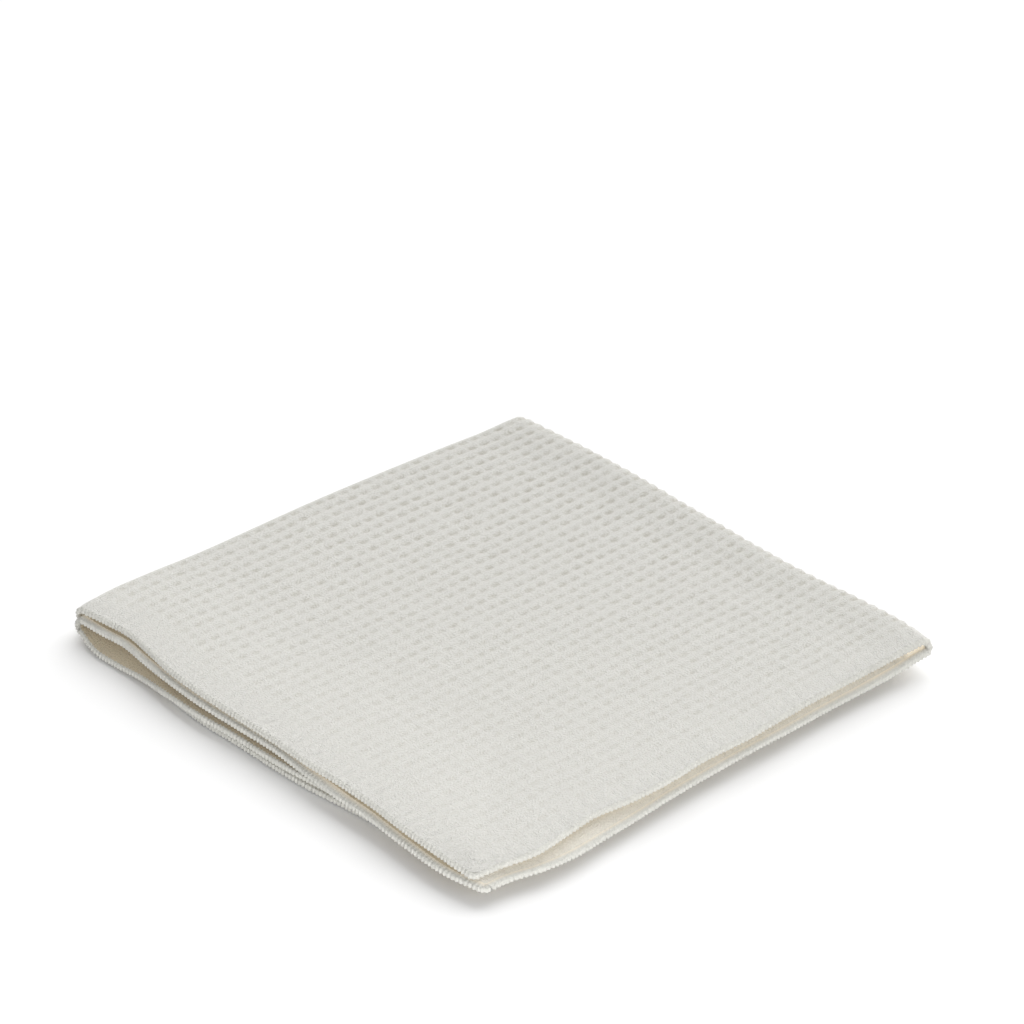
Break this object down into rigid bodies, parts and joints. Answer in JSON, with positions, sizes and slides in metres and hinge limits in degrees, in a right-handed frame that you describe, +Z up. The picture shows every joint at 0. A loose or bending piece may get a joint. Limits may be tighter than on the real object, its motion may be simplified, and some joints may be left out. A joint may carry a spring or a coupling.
{
  "type": "glass cloth",
  "caption": "Off-white waffle-weave glass cloth with overlocked hems, folded into quarters and lying flat.",
  "frame": {"origin": "middle of the base of the folded cloth, on the surface that it lies on", "axes": "+Z up from the surface, +X from the second fold to the free hems, +Y from the free hems to the first fold"},
  "size_m": [0.2086, 0.1988, 0.0129],
  "materials": {
    "waffle_cotton": "matt off-white waffle-weave cotton"
  },
  "bodies": {
    "root": {"glass_cloth": "waffle_cotton"}
  },
  "joints": []
}
